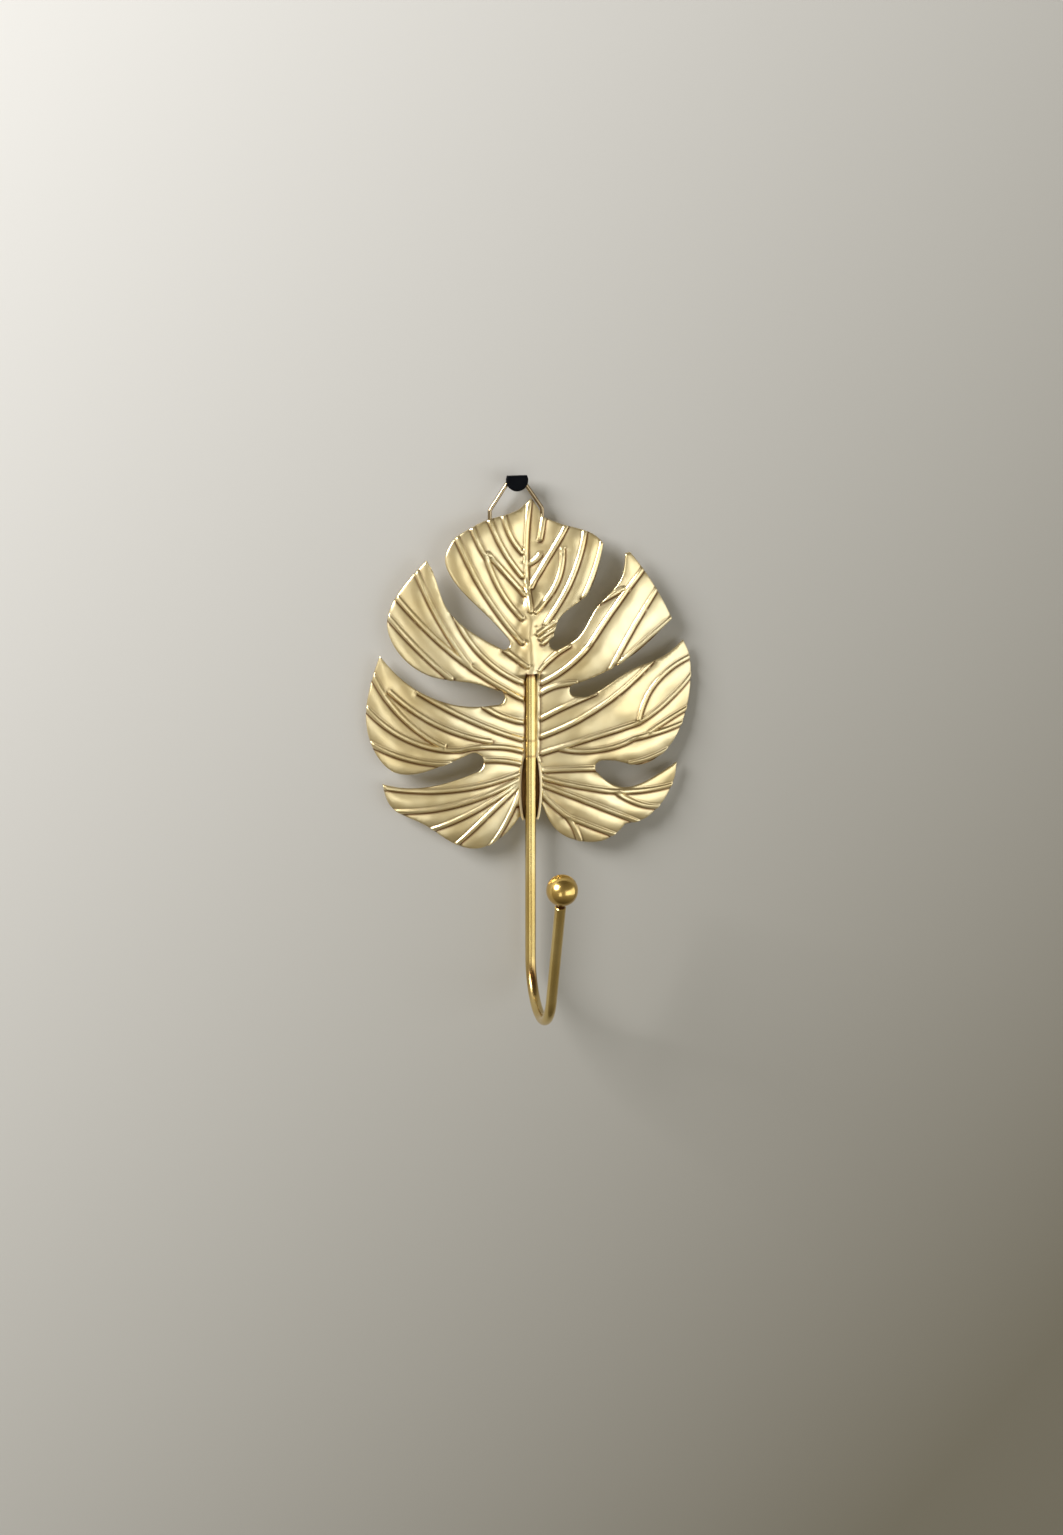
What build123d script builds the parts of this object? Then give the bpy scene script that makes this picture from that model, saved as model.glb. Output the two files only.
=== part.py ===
from build123d import *
import os
from math import atan2, cos, degrees, radians, sin, sqrt

# Rod of the hook
ROD_D = 3.5
ROD_Y = 6.5                  # from the wall to the rod's axis
BACK_LEG = 95.5              # from the bend up to the mouth of the leaf's tunnel
BEND_R = 16.0                # of the rod's centre line
FRONT_LEAN = 19.5            # degrees by which the front leg leans forward
FRONT_LEG = 44.2             # from the bend to the ball's centre
ROD_CHAMFER = 0.2

# Ball on the rod's spigot
BALL_D = 10.0
BALL_GAP = 1.7               # between the rod's shoulder and the ball, with the spigot in view
SPIGOT_D = 2.9
SPIGOT_PAST_CENTRE = 1.5
BORE_CLEARANCE = 0.05        # round the spigot
BORE_END_CLEARANCE = 0.3

# Sheet of the leaf, in leaf coordinates: x from the midrib, z from the tunnel's mouth
SHEET_T = 0.8
LEAF_TIP = 56.0              # height of the tip above the tunnel's mouth
HALF_SLOPE = 0.24            # rise of each half beside the crease of the midrib
HALF_BOW = 0.0055            # bow of each half back to the wall
TIP_ROLL = 2.5               # how far the tip and the foot lobes roll back

# Embossed veins
VEIN_W = 1.7
VEIN_H = 0.5
RIB_W = 1.0

# Tunnel and trough for the rod
SEAT_CLEARANCE = 0.1         # round the rod
TUNNEL_LEN = 21.0            # from the mouth to the tapered end
TROUGH_LEN = 28.0            # from the mouth down to the recess
RECESS_LEN = 21.0
RECESS_BULGE = 1.2

# Wire loop
WIRE_D = 1.3
LOOP_X = -4.2                # centre of the loop beside the midrib
LOOP_BASE = 17.2             # between the feet
LOOP_TOP = 3.4               # length of the top bar
LOOP_BEND_Z = 52.7           # bend between a foot and a leg, in leaf coordinates
LOOP_RISE = 10.0             # from that bend to the top bar
FOOT_LEN = 9.0
FOOT_CLEARANCE = 0.08        # between the wire and the leaf's back
WIRE_BEND_R = 1.5

# Nail in the wall
NECK_D = 2.0
NECK_CLEARANCE = 0.05        # under the loop's bar
PIN_D = 1.6
PIN_LEN = 18.0
POINT_LEN = 2.4
HEAD_D = 7.0
HEAD_T = 1.6
HEAD_FLAT = 1.5              # flat on the head, above the head's centre
HEAD_LIFT = 1.2              # of the head's centre above the neck
HEAD_FILLET = 0.6
HEAD_CLEARANCE = 0.5         # between the wire and the head

BLANK = 62.0                 # half-size of the sheet before it is cut

# Cut outline as (x, z) curves that follow each other from the tip round by the left
OUTLINE = [
    [(1.0, LEAF_TIP), (-2.5, 53.0), (-13.0, 50.0), (-24.0, 45.0)],
    [(-24.0, 45.0), (-27.5, 39.0), (-23.5, 29.0), (-13.5, 18.5), (-7.0, 11.0)],
    [(-7.0, 11.0), (-7.2, 8.6), (-9.5, 8.2)],
    [(-9.5, 8.2), (-17.5, 13.0), (-28.0, 23.5), (-32.0, 35.0), (-33.5, 37.8)],
    [(-33.5, 37.8), (-42.0, 28.0), (-46.0, 17.5), (-41.0, 6.2), (-31.0, 0.0), (-20.0, -2.0),
     (-11.0, -5.2)],
    [(-11.0, -5.2), (-8.5, -7.6), (-11.0, -10.0)],
    [(-11.0, -10.0), (-20.0, -10.0), (-32.5, -6.5), (-42.5, 0.3), (-48.5, 7.2)],
    [(-48.5, 7.2), (-52.0, -5.0), (-52.0, -20.0), (-44.0, -31.2), (-31.5, -30.0), (-20.0, -25.6)],
    [(-20.0, -25.6), (-15.6, -28.0), (-17.5, -31.8)],
    [(-17.5, -31.8), (-28.5, -35.3), (-43.0, -36.3), (-48.0, -35.2)],
    [(-48.0, -35.2), (-45.2, -43.0), (-36.0, -48.3), (-27.3, -54.5), (-18.0, -58.0), (-7.0, -53.0),
     (-3.4, -48.7)],
    [(-3.4, -48.7), (4.0, -44.0)],
    [(4.0, -44.0), (9.0, -53.5), (20.5, -58.2), (28.0, -56.5), (32.0, -52.8)],
    [(32.0, -52.8), (37.0, -52.2), (45.5, -46.0), (49.5, -37.0), (49.8, -33.4)],
    [(49.8, -33.4), (40.0, -38.3), (32.0, -40.2), (26.0, -38.0), (22.2, -34.5)],
    [(22.2, -34.5), (21.3, -32.2), (23.7, -30.2)],
    [(23.7, -30.2), (28.5, -30.7), (34.5, -32.7), (44.5, -29.8), (52.0, -19.0), (54.3, -7.5),
     (53.0, 4.5), (51.3, 7.6)],
    [(51.3, 7.6), (44.6, 3.0), (35.0, 0.0), (23.0, -6.5), (18.0, -8.6), (14.2, -8.4)],
    [(14.2, -8.4), (12.6, -6.6), (15.2, -4.0)],
    [(15.2, -4.0), (24.5, -0.5), (36.0, 5.8), (47.2, 15.2)],
    [(47.2, 15.2), (40.5, 27.2), (32.6, 37.8)],
    [(32.6, 37.8), (31.0, 37.5)],
    [(31.0, 37.5), (29.5, 29.5), (21.0, 20.0), (15.5, 11.3), (9.0, 7.2)],
    [(9.0, 7.2), (6.7, 7.8), (7.4, 11.5)],
    [(7.4, 11.5), (9.5, 17.6), (17.6, 24.3), (22.0, 33.5), (23.6, 41.2)],
    [(23.6, 41.2), (22.4, 42.6), (10.0, 47.7), (4.2, 50.2)],
    [(4.2, 50.2), (2.3, 54.0), (1.0, LEAF_TIP)],
]

# Vein centre lines as arcs through three (x, z) points, from the midrib outwards
VEINS = [
    # midrib and top lobe
    [(-0.4, 20.5), (-1.2, 38.0), (0.6, LEAF_TIP + 1.0)],
    [(-3.1, 10.3), (-13.6, 24.3), (-24.5, 46.5)],
    [(-3.1, 18.2), (-10.2, 28.0), (-14.2, 37.8)],
    [(-14.2, 37.8), (-16.8, 42.5), (-19.3, 50.0)],
    [(-2.0, 25.8), (-7.8, 32.4), (-13.7, 39.2)],
    [(-2.6, 31.5), (-9.0, 40.8), (-13.5, 51.5)],
    [(-2.4, 39.0), (-6.5, 45.0), (-8.6, 52.5)],
    [(3.3, 43.0), (3.9, 46.0), (4.8, 51.0)],
    [(0.2, 28.0), (6.0, 37.5), (12.5, 48.5)],
    [(1.4, 20.1), (7.6, 27.5), (10.3, 39.8)],
    [(4.6, 15.9), (12.5, 28.8), (17.8, 46.5)],
    [(17.0, 24.0), (20.4, 32.0), (23.4, 42.5)],
    # left upper lobe
    [(-1.3, -3.8), (-13.5, 4.0), (-25.0, 21.0)],
    [(-1.5, 2.4), (-4.9, 5.0), (-9.0, 8.5)],
    [(-20.5, 3.9), (-29.5, 18.0), (-37.0, 35.0)],
    [(-1.3, -9.3), (-20.5, 3.5), (-43.5, 27.0)],
    [(-26.3, -0.6), (-36.0, 8.8), (-46.5, 21.0)],
    # left middle lobe
    [(-1.4, -16.5), (-8.5, -14.2), (-15.5, -10.0)],
    [(-1.2, -22.6), (-18.8, -14.9), (-36.5, -4.5)],
    [(-13.4, -21.7), (-31.0, -15.2), (-45.6, -4.2)],
    [(-28.9, -22.6), (-42.0, -12.5), (-51.0, 1.5)],
    [(-1.0, -26.7), (-12.0, -23.6), (-23.0, -24.2)],
    [(-23.0, -24.2), (-36.0, -21.8), (-53.0, -9.8)],
    [(-26.0, -28.8), (-40.0, -26.5), (-52.5, -21.2)],
    [(-1.7, -30.8), (-9.0, -28.6), (-16.5, -28.0)],
    # left foot lobe
    [(-3.0, -33.3), (-27.0, -37.4), (-48.5, -36.0)],
    [(-3.4, -35.2), (-22.5, -42.0), (-44.5, -44.4)],
    [(-3.6, -36.3), (-18.3, -44.8), (-33.0, -50.8)],
    [(-3.8, -37.5), (-13.5, -46.0), (-24.8, -56.5)],
    [(-3.1, -38.5), (-6.8, -47.5), (-13.0, -57.5)],
    # right upper lobe
    [(2.6, -3.9), (11.5, 1.4), (19.0, 8.8)],
    [(19.0, 8.8), (27.0, 20.2), (37.5, 33.0)],
    [(30.0, 26.3), (25.7, 24.2), (22.0, 22.3)],
    [(26.0, 0.2), (32.5, 12.0), (42.0, 25.8)],
    [(28.8, 2.0), (38.5, 9.4), (47.5, 15.8)],
    [(2.6, 1.0), (6.8, 4.8), (12.0, 8.3)],
    [(2.6, -7.3), (7.5, -4.8), (14.5, -4.0)],
    # right middle lobe
    [(3.0, -15.6), (11.0, -11.5), (20.5, -7.6)],
    [(3.0, -21.6), (24.0, -11.0), (40.0, 1.8)],
    [(3.0, -27.2), (20.0, -22.2), (36.0, -18.3)],
    [(36.0, -18.3), (45.0, -12.5), (55.0, -3.8)],
    [(35.8, -17.2), (41.0, -6.0), (54.0, 1.8)],
    [(9.8, -25.6), (22.0, -26.6), (34.0, -23.6)],
    [(34.0, -23.6), (43.0, -22.1), (52.0, -20.2)],
    [(39.6, -21.8), (46.3, -18.2), (54.0, -15.2)],
    [(33.1, -31.9), (39.5, -30.7), (46.0, -28.6)],
    [(3.0, -33.0), (12.0, -32.6), (21.8, -32.9)],
    # right foot lobe
    [(3.2, -35.0), (16.0, -38.6), (28.5, -41.2)],
    [(28.5, -41.2), (38.0, -41.6), (49.0, -41.0)],
    [(28.7, -41.4), (34.3, -45.1), (44.5, -48.2)],
    [(3.4, -37.4), (19.0, -44.2), (37.0, -52.8)],
    [(3.2, -39.8), (8.5, -45.6), (12.5, -49.0)],
    [(12.5, -49.0), (20.0, -52.4), (30.0, -57.0)],
    [(12.5, -49.0), (14.6, -52.5), (17.0, -58.8)],
]

# Short ribs between the right upper slot and the tunnel
RIB_START = (1.9, 13.0)
RIB_END = (7.9, 16.4)
RIB_PITCH = 1.9
RIB_COUNT = 3

ON_BASE = (Align.CENTER, Align.CENTER, Align.MIN)

seat_r = ROD_D / 2 + SEAT_CLEARANCE
shell_r = seat_r + SHEET_T
wire_r = WIRE_D / 2


def rise(x):
    return HALF_SLOPE * abs(x) - HALF_BOW * x**2


def roll(z):
    return TIP_ROLL * (z / LEAF_TIP) ** 2


def front_y(x, z):
    # Front of the sheet, level with the rod's axis where it meets the trough's wall
    return -(ROD_Y + SHEET_T / 2 - rise((seat_r + shell_r) / 2) + rise(x) - roll(z))


def half_surface(side):
    # One half's two parabolas as a net of poles: the middle pole lies where the end tangents meet
    lift = (0, HALF_SLOPE * BLANK / 2, rise(BLANK))
    back = (roll(BLANK), -roll(BLANK), roll(BLANK))
    level = front_y(0, 0)
    rows = [[Vector(side * BLANK * i / 2, level - lift[i] + back[j], BLANK * (j - 1)) for j in range(3)]
            for i in range(3)]
    return Face.make_bezier_surface(rows)


def layer(ahead, thickness):
    left, right = [extrude(Pos(0, -ahead, 0) * half_surface(side), amount=thickness, dir=(0, 1, 0))
                   for side in (-1, 1)]
    return left + right


def through(sketch):
    return extrude(Plane.XZ * sketch, amount=BLANK)


def cut_outline():
    edges = []
    for points in OUTLINE:
        curve = Line if len(points) == 2 else ThreePointArc if len(points) == 3 else Spline
        edges.append(curve(*points))
    return make_face(edges)


def band(points, width):
    # Strip of one width along an arc through three points
    arc = ThreePointArc(*points)
    centre, radius = arc.arc_center, arc.radius
    sides = []
    for reach in (radius + width / 2, radius - width / 2):
        sides.append([centre + (Vector(*p) - centre) * (reach / radius) for p in points])
    outer, inner = sides
    ends = [Line(outer[2], inner[2]), Line(inner[0], outer[0])]
    return make_face([ThreePointArc(*outer), ThreePointArc(*inner), *ends])


def ribs(width):
    (x0, z0), (x1, z1) = RIB_START, RIB_END
    turn = degrees(atan2(z1 - z0, x1 - x0))
    middle = Pos((x0 + x1) / 2, (z0 + z1) / 2) * Rot(0, 0, turn)
    return [middle * Pos(0, -i * RIB_PITCH) * Rectangle(sqrt((x1 - x0) ** 2 + (z1 - z0) ** 2), width)
            for i in range(RIB_COUNT)]


def spun(points, arc):
    # Outline of (distance from the rod's axis, height), turned about that axis
    return Pos(0, -ROD_Y, 0) * revolve(Plane.XZ * make_face(Polyline(*points, close=True)), Axis.Z, arc)


def trough(radius):
    foot, wide = -TROUGH_LEN - RECESS_LEN, radius + RECESS_BULGE
    return [(0, 0), (radius, 0), (radius, -TROUGH_LEN), (wide, -TROUGH_LEN), (wide, foot), (0, foot)]


def leaf_plate():
    veins = Sketch() + [band(points, VEIN_W) for points in VEINS] + ribs(RIB_W)
    raised = layer(VEIN_H, VEIN_H + SHEET_T / 2) & through(veins)
    plate = (layer(0, SHEET_T) + raised) & through(cut_outline())
    plate += spun(tunnel, -180)
    plate += spun(trough(shell_r), 180)
    return plate - spun(bore, 360) - spun(trough(seat_r), 360)


def hook_rod():
    top = Vector(0, -ROD_Y, TUNNEL_LEN)
    bend = ThreePointArc(bend_start, bend_middle, bend_end)
    path = Line(top, bend_start) + bend + Line(bend_end, shoulder)
    rod = sweep(Plane(top, z_dir=(0, 0, -1)) * Circle(ROD_D / 2), path=path)
    rings = rod.edges().filter_by(GeomType.CIRCLE)
    rod = chamfer([rings.sort_by(Axis.Z)[-1], rings.sort_by(Axis.Y)[0]], ROD_CHAMFER)
    start = shoulder - leg_dir * ROD_D
    reach = (ball_centre - start).length + SPIGOT_PAST_CENTRE
    return rod + Plane(start, z_dir=leg_dir) * Cylinder(SPIGOT_D / 2, reach, align=ON_BASE)


def ball_knob():
    depth = BALL_D / 2 + SPIGOT_PAST_CENTRE + BORE_END_CLEARANCE
    bore = Cylinder(SPIGOT_D / 2 + BORE_CLEARANCE, depth, align=ON_BASE)
    mouth = Plane(ball_centre - leg_dir * BALL_D / 2, z_dir=leg_dir)
    return Pos(ball_centre) * Sphere(BALL_D / 2) - mouth * bore


def foot_seat(x, z):
    return Vector(x, front_y(x, z) + SHEET_T + FOOT_CLEARANCE + wire_r, z)


def hanger_loop():
    path = FilletPolyline(*loop_points, radius=WIRE_BEND_R)
    return sweep(Plane(path @ 0, z_dir=path % 0) * Circle(wire_r), path=path)


def wall_nail():
    neck_end = loop_points[2].Y - wire_r - HEAD_CLEARANCE
    shank = make_face(Polyline(
        (0, neck_end), (NECK_D / 2, neck_end), (NECK_D / 2, 0), (PIN_D / 2, 0), (PIN_D / 2, PIN_LEN),
        (0, PIN_LEN + POINT_LEN), close=True))
    disc = Circle(HEAD_D / 2) - Pos(0, HEAD_FLAT + HEAD_D / 2) * Rectangle(2 * HEAD_D, HEAD_D)
    head = extrude(Plane((0, neck_end, HEAD_LIFT), x_dir=(1, 0, 0), z_dir=(0, -1, 0)) * disc, amount=HEAD_T)
    head = fillet(head.faces().sort_by(Axis.Y)[0].edges(), HEAD_FILLET)
    return Pos(LOOP_X, 0, nail_z) * (revolve(shank, Axis.Y) + head)


tunnel_end = TUNNEL_LEN + SHEET_T
tunnel = [(0, 0), (shell_r, 0), (shell_r, TUNNEL_LEN), (seat_r / 2, tunnel_end), (0, tunnel_end)]
bore = [(0, 0), (seat_r, 0), (seat_r, TUNNEL_LEN), (0, TUNNEL_LEN)]

lean = radians(FRONT_LEAN)
turn = (radians(180) - lean) / 2
leg_dir = Vector(0, -sin(lean), cos(lean))
bend_centre = Vector(0, -ROD_Y - BEND_R, -BACK_LEG)
bend_start = bend_centre + Vector(0, BEND_R, 0)
bend_middle = bend_centre + Vector(0, cos(turn), -sin(turn)) * BEND_R
bend_end = bend_centre + Vector(0, -cos(lean), -sin(lean)) * BEND_R
ball_centre = bend_end + leg_dir * FRONT_LEG
shoulder = ball_centre - leg_dir * (sqrt((BALL_D / 2) ** 2 - (ROD_D / 2) ** 2) + BALL_GAP)

left, right = LOOP_X - LOOP_BASE / 2, LOOP_X + LOOP_BASE / 2
left_bend, right_bend = foot_seat(left, LOOP_BEND_Z), foot_seat(right, LOOP_BEND_Z)
bar_y, bar_z = (left_bend.Y + right_bend.Y) / 2, LOOP_BEND_Z + LOOP_RISE
loop_points = [
    foot_seat(left, LOOP_BEND_Z - FOOT_LEN), left_bend, Vector(LOOP_X - LOOP_TOP / 2, bar_y, bar_z),
    Vector(LOOP_X + LOOP_TOP / 2, bar_y, bar_z), right_bend, foot_seat(right, LOOP_BEND_Z - FOOT_LEN)]
nail_z = bar_z - wire_r - NECK_CLEARANCE - NECK_D / 2

# Origin on the nail's axis, where it enters the wall
place = Pos(-LOOP_X, 0, -nail_z)
os.makedirs("parts", exist_ok=True)
for name, make in (("leaf_plate", leaf_plate), ("hook_rod", hook_rod), ("ball_knob", ball_knob),
                   ("hanger_loop", hanger_loop), ("wall_nail", wall_nail)):
    export_step(place * make(), f"parts/{name}.step")
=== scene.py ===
import math
import bmesh
import bpy
import numpy as np
from mathutils import Matrix, Vector, noise
from mathutils.geometry import delaunay_2d_cdt
from mathutils.kdtree import KDTree


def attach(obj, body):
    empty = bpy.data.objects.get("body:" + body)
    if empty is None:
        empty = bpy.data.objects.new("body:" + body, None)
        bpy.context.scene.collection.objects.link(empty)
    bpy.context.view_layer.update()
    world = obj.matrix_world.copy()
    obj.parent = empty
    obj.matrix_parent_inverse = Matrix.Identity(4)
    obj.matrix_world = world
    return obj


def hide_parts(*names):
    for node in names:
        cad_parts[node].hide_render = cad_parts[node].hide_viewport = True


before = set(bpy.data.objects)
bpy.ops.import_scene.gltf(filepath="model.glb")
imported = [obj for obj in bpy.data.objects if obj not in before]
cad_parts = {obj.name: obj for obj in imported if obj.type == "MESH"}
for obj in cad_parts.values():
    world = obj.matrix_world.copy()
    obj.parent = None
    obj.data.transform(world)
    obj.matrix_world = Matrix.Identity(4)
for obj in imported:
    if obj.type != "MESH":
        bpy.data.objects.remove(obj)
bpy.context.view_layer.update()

print("frame loaded with", sorted(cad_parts))
scene = bpy.context.scene
scene.view_settings.view_transform = "Standard"
mm = 0.001

# Pressed leaf, in mm: x from the midrib, z from the tunnel's mouth, height out from the wall
leafSet = {
    "midribX": 4.2, "mouthZ": -61.0,          # where the leaf's zero lies in the frame
    "rodOut": 6.5, "sheet": 0.8, "tip": 56.0,
    "halfSlope": 0.24, "halfBow": 0.0055, "foldRound": 0.6, "foldDrop": 0.1, "tipRoll": 2.5,
    "veinHigh": 0.5, "veinFlat": 0.40, "veinFlank": 0.55, "veinClear": 0.72, "veinFade": 0.25,
    "downWay": (0.25, -0.97),                 # the sheet lies deeper on this side of a vein than on the other
    "underVein": 0.30, "overVein": 0.10, "stepStart": 0.8, "stepReach": 2.2, "stepMost": 0.4,
    "creaseAt": 1.08, "creaseWide": 0.2, "creaseDeep": 0.12,
    "brownAt": 1.07, "brownWide": 0.31,       # painted shade: brown line in the crease, darker on the vein's lower side
    "pillow": 0.30, "pillowReach": 2.6,       # bulge between veins
    "wave": 0.10, "dent": 0.09, "dentOften": 0.24, "pitDeep": 0.30, "pitSpread": 0.3,    # uneven press
    "grooveShare": 0.75, "grooveWide": 0.75,  # hollow behind each vein
    "seatR": 1.85, "tunnelLong": 21.0, "tunnelOut": 9.0, "tunnelWide": 3.2, "midribWide": 1.5,
    "tunnelRun": 1.5, "tunnelFade": 13.0, "mouthFade": 2.0, "tunnelBack": 0.85, "boreEnd": 0.8,
    "troughLong": 28.0, "recessLong": 21.0, "recessOut": 1.2, "recessRound": 0.6, "troughGap": 0.02,
    # troughBrown: painted shade on the trough's inner side
    "troughSteps": 50, "troughTurns": 20, "troughBrown": 0.7,
    "lip": 0.28, "lipAt": 0.45, "lipWide": 0.35, "lipFoot": -30.0,    # raised edge right of the slot
    "calmLeft": (0.05, 0.7), "calmRight": (0.7, 0.6),    # how far from the slot veins start, and their fade
    # painted shade along the slot's edges and in a line beside the lip
    "slotBrown": 0.45, "lipBrown": 0.9, "lipBrownAt": 1.3, "lipBrownWide": 0.24,
    "bareHigh": 20.0, "bareHalf": 1.2, "bareFade": 1.6,  # no painted shade on the tunnel
    "slotFoot": -52.0, "edgeStep": 0.45, "edgeFine": 0.1, "edgeRound": 0.32,
    "curl": 0.5, "curlWide": 5.0,             # how far the lobes' rims bend back, and over what width
}
# cut outline from the tip round by the left, one curve per row
leafOutline = [
    [(1.0, 56.0), (-2.5, 53.0), (-13.0, 50.0), (-24.0, 45.0)],
    [(-24.0, 45.0), (-27.5, 39.0), (-23.5, 29.0), (-13.5, 18.5), (-7.0, 11.0)],
    [(-7.0, 11.0), (-7.2, 8.6), (-9.5, 8.2)],
    [(-9.5, 8.2), (-17.5, 13.0), (-28.0, 23.5), (-32.0, 35.0), (-33.5, 37.8)],
    [(-33.5, 37.8), (-42.0, 28.0), (-46.0, 17.5), (-41.0, 6.2), (-31.0, 0.0), (-20.0, -2.0), (-11.0, -5.2)],
    [(-11.0, -5.2), (-8.5, -7.6), (-11.0, -10.0)],
    [(-11.0, -10.0), (-20.0, -10.0), (-32.5, -6.5), (-42.5, 0.3), (-48.5, 7.2)],
    [(-48.5, 7.2), (-52.0, -5.0), (-52.0, -20.0), (-44.0, -31.2), (-31.5, -30.0), (-20.0, -25.6)],
    [(-20.0, -25.6), (-15.6, -28.0), (-17.5, -31.8)],
    [(-17.5, -31.8), (-28.5, -35.3), (-43.0, -36.3), (-48.0, -35.2)],
    [(-48.0, -35.2), (-45.2, -43.0), (-36.0, -48.3), (-27.3, -54.5), (-18.0, -58.0), (-7.0, -53.0),
     (-3.4, -48.7)],
    [(-3.4, -48.7), (4.0, -44.0)],
    [(4.0, -44.0), (9.0, -53.5), (20.5, -58.2), (28.0, -56.5), (32.0, -52.8)],
    [(32.0, -52.8), (37.0, -52.2), (45.5, -46.0), (49.5, -37.0), (49.8, -33.4)],
    [(49.8, -33.4), (40.0, -38.3), (32.0, -40.2), (26.0, -38.0), (22.2, -34.5)],
    [(22.2, -34.5), (21.3, -32.2), (23.7, -30.2)],
    [(23.7, -30.2), (28.5, -30.7), (34.5, -32.7), (44.5, -29.8), (52.0, -19.0), (54.3, -7.5), (53.0, 4.5),
     (51.3, 7.6)],
    [(51.3, 7.6), (44.6, 3.0), (35.0, 0.0), (23.0, -6.5), (18.0, -8.6), (14.2, -8.4)],
    [(14.2, -8.4), (12.6, -6.6), (15.2, -4.0)],
    [(15.2, -4.0), (24.5, -0.5), (36.0, 5.8), (47.2, 15.2)],
    [(47.2, 15.2), (40.5, 27.2), (32.6, 37.8)],
    [(32.6, 37.8), (31.0, 37.5)],
    [(31.0, 37.5), (29.5, 29.5), (21.0, 20.0), (15.5, 11.3), (9.0, 7.2)],
    [(9.0, 7.2), (6.7, 7.8), (7.4, 11.5)],
    [(7.4, 11.5), (9.5, 17.6), (17.6, 24.3), (22.0, 33.5), (23.6, 41.2)],
    [(23.6, 41.2), (22.4, 42.6), (10.0, 47.7), (4.2, 50.2)],
    [(4.2, 50.2), (2.3, 54.0), (1.0, 56.0)],
]
# vein arcs from the midrib outwards: top lobe, then down the left and down the right
leafVeins = [
    [(-0.4, 20.5), (-1.2, 38.0), (0.6, 57.0)], [(-3.1, 10.3), (-13.6, 24.3), (-24.5, 46.5)],
    [(-3.1, 18.2), (-10.2, 28.0), (-14.2, 37.8)], [(-14.2, 37.8), (-16.8, 42.5), (-19.3, 50.0)],
    [(-2.0, 25.8), (-7.8, 32.4), (-13.7, 39.2)], [(-2.6, 31.5), (-9.0, 40.8), (-13.5, 51.5)],
    [(-2.4, 39.0), (-6.5, 45.0), (-8.6, 52.5)], [(3.3, 43.0), (3.9, 46.0), (4.8, 51.0)],
    [(0.2, 28.0), (6.0, 37.5), (12.5, 48.5)], [(1.4, 20.1), (7.6, 27.5), (10.3, 39.8)],
    [(4.6, 15.9), (12.5, 28.8), (17.8, 46.5)], [(17.0, 24.0), (20.4, 32.0), (23.4, 42.5)],
    [(-1.3, -3.8), (-13.5, 4.0), (-25.0, 21.0)], [(-1.5, 2.4), (-4.9, 5.0), (-9.0, 8.5)],
    [(-20.5, 3.9), (-29.5, 18.0), (-37.0, 35.0)], [(-1.3, -9.3), (-20.5, 3.5), (-43.5, 27.0)],
    [(-26.3, -0.6), (-36.0, 8.8), (-46.5, 21.0)], [(-1.4, -16.5), (-8.5, -14.2), (-15.5, -10.0)],
    [(-1.2, -22.6), (-18.8, -14.9), (-36.5, -4.5)], [(-13.4, -21.7), (-31.0, -15.2), (-45.6, -4.2)],
    [(-28.9, -22.6), (-42.0, -12.5), (-51.0, 1.5)], [(-1.0, -26.7), (-12.0, -23.6), (-23.0, -24.2)],
    [(-23.0, -24.2), (-36.0, -21.8), (-53.0, -9.8)], [(-26.0, -28.8), (-40.0, -26.5), (-52.5, -21.2)],
    [(-1.7, -30.8), (-9.0, -28.6), (-16.5, -28.0)], [(-3.0, -33.3), (-27.0, -37.4), (-48.5, -36.0)],
    [(-3.4, -35.2), (-22.5, -42.0), (-44.5, -44.4)], [(-3.6, -36.3), (-18.3, -44.8), (-33.0, -50.8)],
    [(-3.8, -37.5), (-13.5, -46.0), (-24.8, -56.5)], [(-3.1, -38.5), (-6.8, -47.5), (-13.0, -57.5)],
    [(2.6, -3.9), (11.5, 1.4), (19.0, 8.8)], [(19.0, 8.8), (27.0, 20.2), (37.5, 33.0)],
    [(30.0, 26.3), (25.7, 24.2), (22.0, 22.3)], [(26.0, 0.2), (32.5, 12.0), (42.0, 25.8)],
    [(28.8, 2.0), (38.5, 9.4), (47.5, 15.8)], [(2.6, 1.0), (6.8, 4.8), (12.0, 8.3)],
    [(2.6, -7.3), (7.5, -4.8), (14.5, -4.0)], [(3.0, -15.6), (11.0, -11.5), (20.5, -7.6)],
    [(3.0, -21.6), (24.0, -11.0), (40.0, 1.8)], [(3.0, -27.2), (20.0, -22.2), (36.0, -18.3)],
    [(36.0, -18.3), (45.0, -12.5), (55.0, -3.8)], [(35.8, -17.2), (41.0, -6.0), (54.0, 1.8)],
    [(9.8, -25.6), (22.0, -26.6), (34.0, -23.6)], [(34.0, -23.6), (43.0, -22.1), (52.0, -20.2)],
    [(39.6, -21.8), (46.3, -18.2), (54.0, -15.2)], [(33.1, -31.9), (39.5, -30.7), (46.0, -28.6)],
    [(3.0, -33.0), (12.0, -32.6), (21.8, -32.9)], [(3.2, -35.0), (16.0, -38.6), (28.5, -41.2)],
    [(28.5, -41.2), (38.0, -41.6), (49.0, -41.0)], [(28.7, -41.4), (34.3, -45.1), (44.5, -48.2)],
    [(3.4, -37.4), (19.0, -44.2), (37.0, -52.8)], [(3.2, -39.8), (8.5, -45.6), (12.5, -49.0)],
    [(12.5, -49.0), (20.0, -52.4), (30.0, -57.0)], [(12.5, -49.0), (14.6, -52.5), (17.0, -58.8)],
    [(1.9, 13.0), (4.9, 14.7), (7.9, 16.41)], [(2.8, 11.4), (5.8, 13.1), (8.7, 14.71)],
    [(3.7, 9.7), (6.7, 11.4), (9.6, 13.01)], [(0.0, 35.2), (1.8, 36.4), (3.2, 38.0)],
]
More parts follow.
